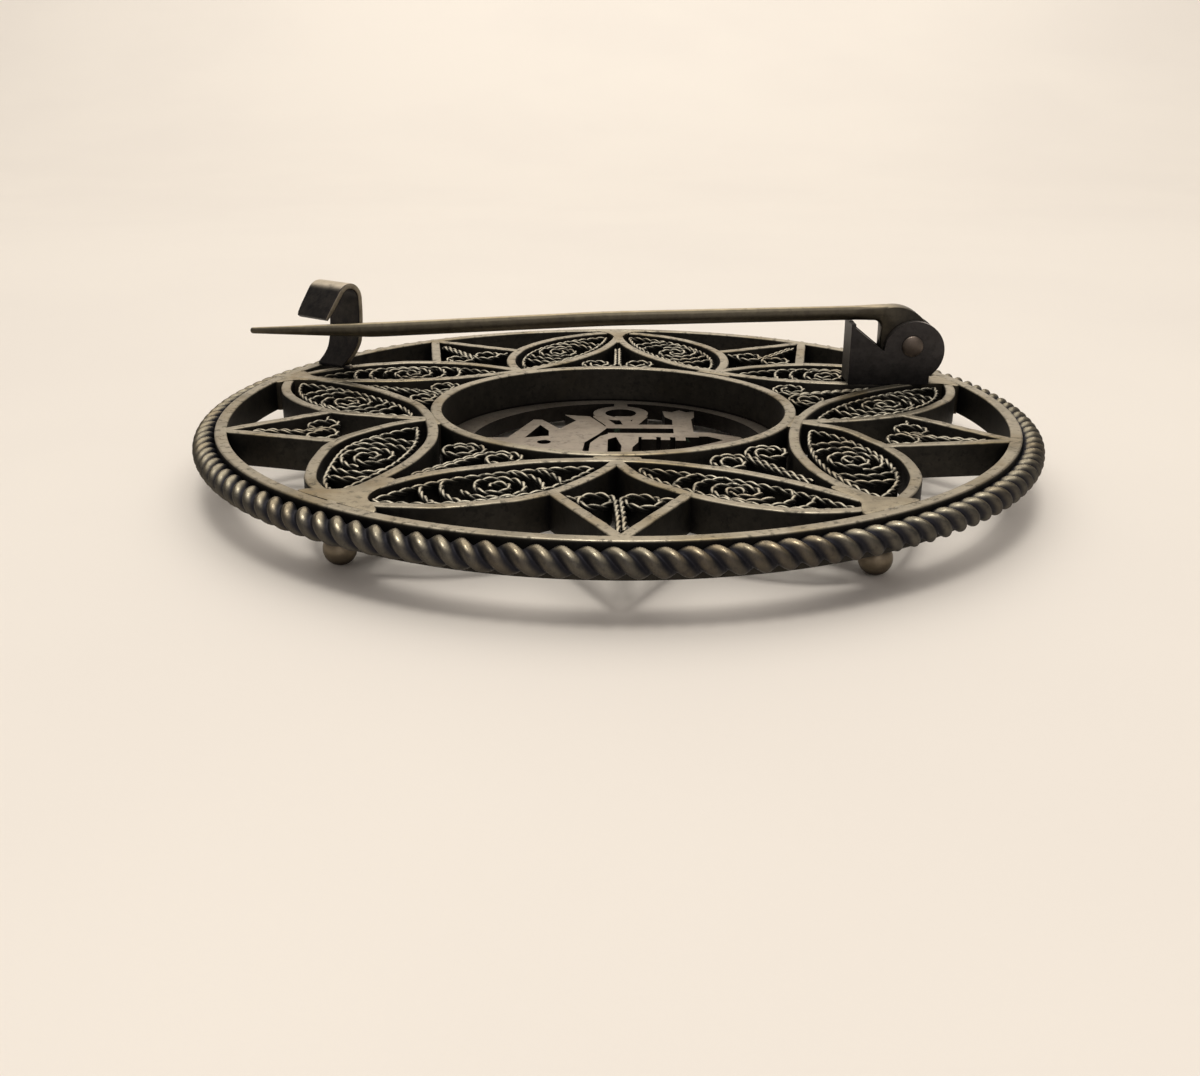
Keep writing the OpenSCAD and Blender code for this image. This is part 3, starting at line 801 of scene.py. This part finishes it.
tie = evenly([[-1.6, -15.2], [-2.3, -15.12]], 0.1)
kite_lines = scroll_pair(out=15.5, stem_end=19.25, radius=0.8, halves=2, shrink=0.1)
kite_lines += [tie, tie * [-1, 1]]
corner_lines = scroll_pair(out=10.8, stem_end=15.1, radius=1.0, halves=3, shrink=0.23)
for k in range(ARMS):
    for name, lines, arms in (("kite", kite_lines, [k]), ("corner", corner_lines, [k, k + 1])):
        parts = []
        for n, line in enumerate(lines):
            parts += filigree(placed(line, *arms), seed=k + n)
        piece(f"{name}_wirework_{k + 1}", parts, wire_silver,
              stands_for=[f"{name}_filigree_{k + 1}"], sharp=80)

# %% [markdown]
# ## The plaque
# The plaque is sawn from sheet, so its walls are square and its edges only a little worn. From this low
# camera its openings are black. As painted shade, its lower side is let down below the CAD solid, so the
# openings show deep dark walls and not the lit card. The CAD solid has the right outline, so we take its
# mesh and let its lower side down. A bevel modifier rounds the edges.

# %% Worn edges and the plaque
PLAQUE_LOW = 0.45


def wear_edges(solid, bevel):
    """Sharp edges rounded a little by a modifier."""
    rounding = solid.modifiers.new("worn edges", "BEVEL")
    rounding.width, rounding.segments, rounding.limit_method = bevel * MM, 2, "ANGLE"
    rounding.angle_limit = math.radians(40)
    rounding.use_clamp_overlap = True


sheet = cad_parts["centre_plaque"].data
sheet_points = np.array([tuple(point.co) for point in sheet.vertices]) / MM
# Letting the lower side down is painted shade: dark walls fill the openings where only shade is seen.
sheet_points[sheet_points[:, 2] < sheet_points[:, 2].mean(), 2] = PLAQUE_LOW
sheet_faces = [list(face.vertices) for face in sheet.polygons]
plaque = piece("plaque_sawn", [(sheet_points, sheet_faces)], plaque_silver,
               stands_for=["centre_plaque"], sharp=30)
wear_edges(plaque, 0.05)

# %% [markdown]
# ## Balls on the face
# The brooch rests on five small balls at the star's tips. A silversmith melts scrap into a ball and sinks
# it in a drop of solder, so each ball has a low collar where it meets the strips. A sphere and a cone
# would show a seam between them. We turn one profile round an upright axis instead.


# %% Turned shapes and balls
def lathe(profile, centre, sides=40):
    """A profile of radius and height turned round an upright axis, from its low end to its high end."""
    angles = all_round(sides)
    rings = [np.c_[r * np.cos(angles), r * np.sin(angles), np.full(sides, z)] for r, z in profile]
    points, faces = skin(np.array(rings))
    return points + np.array([*centre, 0]), faces


BALL_R, BALL_OUT_R = 0.75, 19.3
BALL_TURNS = (-0.8, 0, 0, 0, -2.5)
ball_angles = np.radians(np.linspace(2, 138, 28))
ball_profile = [(BALL_R * math.sin(a), BALL_R - BALL_R * math.cos(a)) for a in ball_angles]
ball_profile += [(0.49, 1.38), (0.51, 1.48), (0.57, 1.58), (0.66, 1.68)]
for k, ball_turn in enumerate(BALL_TURNS):
    centre = turned([[0, -BALL_OUT_R]], (k + 0.5) * ARM_TURN + ball_turn)[0]
    piece(f"ball_{k + 1}", [lathe(ball_profile, centre)], ball_silver,
          stands_for=[f"face_ball_{k + 1}"])

# %% [markdown]
# ## The catch
# The catch is one strap of sheet that stands on a foot, rises and hooks over. It is a skin again, but its
# line lies in an upright plane and its section is as wide as the strap. Bending a flat mesh with a modifier
# would be harder to steer. The end of the lip is thinned a little, and the strap spreads where it meets
# its foot.

# %% Strap of the catch
CATCH_AT, OPEN_TURN = np.array([-16.25, 9.6]), 235
STRAP_W, STRAP_T, FOOT_T, LIP_T = 2.4, 0.35, 0.42, 0.24
UP = np.array([0, 0, 1.0])
open_way, across_way = (np.array([math.cos(a), math.sin(a), 0])
                        for a in np.radians([OPEN_TURN, OPEN_TURN + 90]))


def strap(line, near, far, thick):
    """A strap along a line of (towards the opening, up), with near and far half widths at each point."""
    _, left = directions(line)
    rings = []
    for k, ((s, z), (ns, nz)) in enumerate(zip(line, left)):
        section = rounded_box(STRAP_W, -thick[k] / 2, thick[k] / 2, 0.07)
        across = section[:, 0] * np.where(section[:, 0] > 0, near[k], far[k]) / (STRAP_W / 2)
        at = np.array([*CATCH_AT, BACK_Z]) + s * open_way + z * UP
        rings.append(at + across[:, None] * across_way + section[:, 1:] * (ns * open_way + nz * UP))
    return skin(np.array(rings))


print("the catch opens towards", np.round(open_way, 2))

# %% Line of the hook
WALL_R, WALL_C = 15.7, (15.82, 4.1)
HOOK_R, HOOK_C, LIP_LEAN, LIP_H = 0.82, (0.94, 4.1), 39, 3.2
HOOK_STEP = 0.1
wall_z = np.linspace(0.02, WALL_C[1], 24)
wall = np.c_[WALL_C[0] - np.sqrt(WALL_R**2 - (wall_z - WALL_C[1]) ** 2), wall_z]
bend = arc(HOOK_C, HOOK_R, 180, LIP_LEAN, 0.1)[1:]
lip_way = np.array([math.tan(math.radians(LIP_LEAN)), -1])
lip_end = bend[-1] + lip_way * (bend[-1][1] - LIP_H)
hook = evenly(np.vstack([wall, bend, [lip_end]]), HOOK_STEP)
hook_last = len(hook) - 1
print("length of the bent strap in mm:", round(HOOK_STEP * len(hook), 1))


# %% Widths of the catch and its foot
def along_hook(places, values):
    """A value at each point of the hook, from a few. Places are counted in hook steps from the foot."""
    return np.interp(np.arange(len(hook)), places, values)


def near_foot(height):
    """From 1 at the foot of the wall to 0 at a height."""
    return np.clip(1 - hook[:, 1] / height, 0, 1) * (hook[:, 0] < 0.9)


curl, flare = near_foot(1.7) ** 1.5, near_foot(1.1) ** 1.6
hook_near = along_hook([0, 30, 60, hook_last], [1.25, 1.28, 1.28, 1.15]) - 0.8 * curl
hook_far = along_hook([0, 30, 60, hook_last - 2, hook_last], [1.2, 1.25, 1.36, 1.36, 1.28]) + 0.45 * flare
hook_thick = along_hook([0, 6, hook_last - 7, hook_last], [FOOT_T, STRAP_T, STRAP_T, LIP_T])
hook[:, 0] += 0.35 * curl + waver(len(hook), 0.012, 7, 4)
foot = []
corner = all_round(48)
for level, inset in ((-0.05, 0.0), (0.06, 0.0), (0.12, 0.03), (0.16, 0.12)):
    along = 0.95 * np.tanh(4 * np.cos(corner)) + (0.42 - inset) * np.cos(corner) + 0.5
    side = 0.8 + (0.3 - inset) * np.sin(corner)
    at = np.array([*CATCH_AT, BACK_Z + level])
    foot.append(at - along[:, None] * across_way + side[:, None] * open_way)
piece("catch_strap", [strap(hook, hook_near, hook_far, hook_thick), skin(np.array(foot))], catch_silver,
      stands_for=["catch"])

# %% [markdown]
# ## The hinge and its rivet
# The hinge is one bent sheet: two round cheeks, a floor, and a front wall on which the pin's wire comes to
# rest. The CAD solid is right and only gets worn edges. The rivet's heads are hammered, so they are low
# domes. It is turned upright like a ball and then laid down.

# %% Hinge and rivet
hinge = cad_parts["pin_hinge"]
hinge.data.materials.clear()
hinge.data.materials.append(hinge_silver)
wear_edges(hinge, 0.08)

RIVET_AT = np.array([16.72, 6.2, BACK_Z + 2.2])
KNUCKLE_W, CHEEK_GAP, CHEEK_T = 1.2, 0.1, 0.45
SHAFT_R, DOME_R, DOME_H, DOME_RIM = 0.4, 0.6, 0.17, 0.57
cheek_out = KNUCKLE_W / 2 + CHEEK_GAP + CHEEK_T + 0.02
dome = [(DOME_R * math.cos(a), cheek_out + 0.02 + DOME_H * math.sin(a))
        for a in np.radians(np.linspace(0, 86, 9))]
shaft = [(DOME_RIM, -cheek_out), (SHAFT_R, -cheek_out), (SHAFT_R, cheek_out), (DOME_RIM, cheek_out)]
upright, rivet_faces = lathe([(r, -z) for r, z in dome[::-1]] + shaft + dome, (0, 0), 32)
laid_down = np.c_[upright[:, 0], upright[:, 2], -upright[:, 1]] + RIVET_AT
piece("rivet_domed", [(laid_down, rivet_faces)], rivet_silver, stands_for=["hinge_rivet"])

# %% [markdown]
# ## The pin
# The pin is one wire: hammered flat into a knuckle at the rivet, slightly bowed, and filed to a point. The
# wire is a skin whose section changes from round to square where it meets the knuckle. The knuckle is
# drawn between two outlines, its edge and the rivet's eye, with small steps that round the rims. Boolean
# cuts could make the same shape, but leave messy faces.

# %% Pin wire
PIN_R, POINT_R, PIN_Y = 0.42, 0.18, 6.2
POINT_X, STEM_X, NECK_X, FLAT_FROM_X = -21.06, 15.3, 15.0, 13.3
FILLET, PIN_SIDES = 0.45, 28
bow_x, bow_z = (POINT_X, -14.2, -0.9, STEM_X), (2.68, 2.75, 3.47, 3.95)
bow_r = (POINT_R, PIN_R, PIN_R, 0.4)
fine_x = np.linspace(POINT_X, STEM_X, 260)
fine_z = soften(np.interp(fine_x, bow_x, bow_z)[:, None], 60)[:, 0]
pin_x = np.r_[np.linspace(STEM_X, 13.2, 43), np.linspace(13.1, POINT_X, 240)]
pin_z = np.interp(pin_x, fine_x, fine_z) + BACK_Z
thick = np.interp(pin_x, bow_x, bow_r) * (1 + waver(len(pin_x), 0.006, 5, 12))
tip = np.radians(np.linspace(12, 88, 7))
pin_x = np.r_[pin_x, POINT_X - POINT_R * np.sin(tip)]
pin_z = np.r_[pin_z, np.full(len(tip), pin_z[-1])]
thick = np.r_[thick, POINT_R * np.cos(tip)]
flat = np.clip((pin_x - FLAT_FROM_X) / (NECK_X - FLAT_FROM_X), 0, 1)
flat = flat**2 * (3 - 2 * flat)
wide = thick + (KNUCKLE_W / 2 - PIN_R) * flat
into = np.clip((pin_x - (NECK_X - FILLET)) / FILLET, 0, 1)
deep = thick + FILLET * (1 - np.sqrt(1 - into**2))
angles = all_round(PIN_SIDES)
c, s = np.cos(angles), np.sin(angles)
stem_rings = []
for k, x in enumerate(pin_x):
    roundness = 2 / (2 + 3 * flat[k])
    across = wide[k] * np.sign(c) * np.abs(c) ** roundness
    up = np.sign(s) * np.abs(s) ** roundness * np.where(s > 0, thick[k], deep[k])
    stem_rings.append(np.c_[np.full(PIN_SIDES, x), PIN_Y + across, pin_z[k] + up])
stem = skin(np.array(stem_rings))
print("pin from rivet to point in mm:", round(RIVET_AT[0] - pin_x[-1], 2))

# %% Knuckle and pin
BACK_ROUND_C, BACK_ROUND_R = np.array([15.7, 2.1]), 2.24
KNUCKLE_FOOT, EYE_R, KNUCKLE_SIDES = 0.65, 0.45, 96
KNUCKLE_RIM, EYE_RIM = 0.1, 0.06
rivet_flat = RIVET_AT[[0, 2]] - [0, BACK_Z]


def knuckle_edge(angles):
    """How far the knuckle reaches from the rivet: to its round back, its neck or its foot."""
    way = np.c_[np.cos(angles), np.sin(angles)]
    offset = rivet_flat - BACK_ROUND_C
    along = way @ offset
    reach = -along + np.sqrt(along**2 - offset @ offset + BACK_ROUND_R**2)
    for axis, limit in ((0, NECK_X), (1, KNUCKLE_FOOT)):
        towards = np.minimum(way[:, axis], -1e-6)
        stop = np.where(way[:, axis] < -1e-6, (limit - rivet_flat[axis]) / towards, np.inf)
        reach = np.minimum(reach, stop)
    return reach


angles = all_round(KNUCKLE_SIDES)
edge = soften(knuckle_edge(angles)[:, None], 2, True)[:, 0]
eye, half_w = np.full(KNUCKLE_SIDES, EYE_R), KNUCKLE_W / 2
half_profile = [(edge, half_w - KNUCKLE_RIM), (edge - KNUCKLE_RIM * 0.3, half_w - KNUCKLE_RIM * 0.3),
                (edge - KNUCKLE_RIM, half_w), (eye + EYE_RIM, half_w), (eye, half_w - EYE_RIM)]
knuckle_rings = []
for distance, level in [(d, -y) for d, y in half_profile] + half_profile[::-1]:
    rim = rivet_flat + distance[:, None] * np.c_[np.cos(angles), np.sin(angles)]
    knuckle_rings.append(np.c_[rim[:, 0], np.full(KNUCKLE_SIDES, PIN_Y + level), rim[:, 1] + BACK_Z])
knuckle = skin(np.array(knuckle_rings).transpose(1, 0, 2), loop=True)
piece("pin_wire", [stem, knuckle], pin_silver, body="pin", stands_for=["pin"])

# %% [markdown]
# ## Card
# The brooch lies on smooth off-white card that curves up far behind it. A plain plane would show its
# horizon. The card is faintly cloudy and has a very fine fibre.

# %% Card
CARD_HALF, CURVE_FROM, CURVE_R, CARD_TOP = 900, 150, 260, 900


def card_finish():
    """Off-white card, a little cloudy and hardly shiny."""
    material = bpy.data.materials.new("pale card")
    material.use_nodes = True
    tree = material.node_tree
    shader = tree.nodes["Principled BSDF"]
    place = add(tree, "ShaderNodeTexCoord").outputs["Object"]
    cloud = between(tree, noise(tree, place, 18, 3), 0.35, 0.7)
    fibre = noise(tree, place, 1500, 5, 0.7)
    colour = blend(tree, cloud, (0.80, 0.755, 0.69), (0.775, 0.73, 0.67))
    tree.links.new(colour, shader.inputs["Base Color"])
    bump = add(tree, "ShaderNodeBump", Strength=0.12, Distance=0.05 * MM, Height=fibre)
    tree.links.new(bump.outputs[0], shader.inputs["Normal"])
    shader.inputs["Roughness"].default_value = 0.55
    shader.inputs["Specular IOR Level"].default_value = 0.25
    return material


card_line = [(-600, 0), (CURVE_FROM, 0)]
card_line += [(CURVE_FROM + CURVE_R * math.sin(a), CURVE_R - CURVE_R * math.cos(a))
              for a in np.radians(range(6, 91, 6))]
card_line += [(CURVE_FROM + CURVE_R, CARD_TOP)]
card_points = [(side * CARD_HALF * MM, y * MM, z * MM) for y, z in card_line for side in (-1, 1)]
card_faces = [(2 * k, 2 * k + 1, 2 * k + 3, 2 * k + 2) for k in range(len(card_line) - 1)]
card_mesh = bpy.data.meshes.new("card")
card_mesh.from_pydata(card_points, [], card_faces)
card_mesh.shade_smooth()
card_mesh.materials.append(card_finish())
card = new_object("card", card_mesh)
print("card:", len(card_faces), "faces")

# %% [markdown]
# ## Light
# The main light is a large soft panel over and a little behind the brooch, which gives each strip its
# bright top edge and a wide soft shadow. One large light alone looks flat on metal, so a small lamp beside
# it adds the glints on wire and rope and a firmer shadow below them. Two weak fills and an even room light
# keep the front from going black.


# %% Lights
def panel(name, at, size, watts, colour, aim=(0, 0, 2)):
    """A soft square light at a place in millimetres, aimed at another."""
    data = bpy.data.lights.new(name, "AREA")
    data.size, data.energy, data.color = size * MM, watts, colour
    light = new_object(name, data)
    light.location = Vector(at) * MM
    light.rotation_euler = (Vector(aim) * MM - light.location).to_track_quat("-Z", "Y").to_euler()
    print(f"{name}: {size} mm wide, {watts} W")


ROOM_COLOUR, ROOM_STRENGTH = (1.0, 0.93, 0.88, 1), 0.34
panel("main_panel", (-5, 80, 330), 520, 0.92, (1.0, 0.955, 0.90))
panel("small_lamp", (-10, -60, 330), 95, 0.33, (1.0, 0.96, 0.90))
panel("front_fill", (60, -320, 160), 240, 0.2, (1.0, 0.93, 0.90))
panel("back_glow", (0, 330, 240), 300, 0.24, (1.0, 0.95, 0.88), aim=(0, 420, 60))
world = bpy.data.worlds.new("room")
bpy.context.scene.world = world
world.use_nodes = True
room_light = world.node_tree.nodes["Background"]
room_light.inputs[0].default_value = ROOM_COLOUR
room_light.inputs[1].default_value = ROOM_STRENGTH
bpy.context.scene.view_settings.view_transform = "Standard"
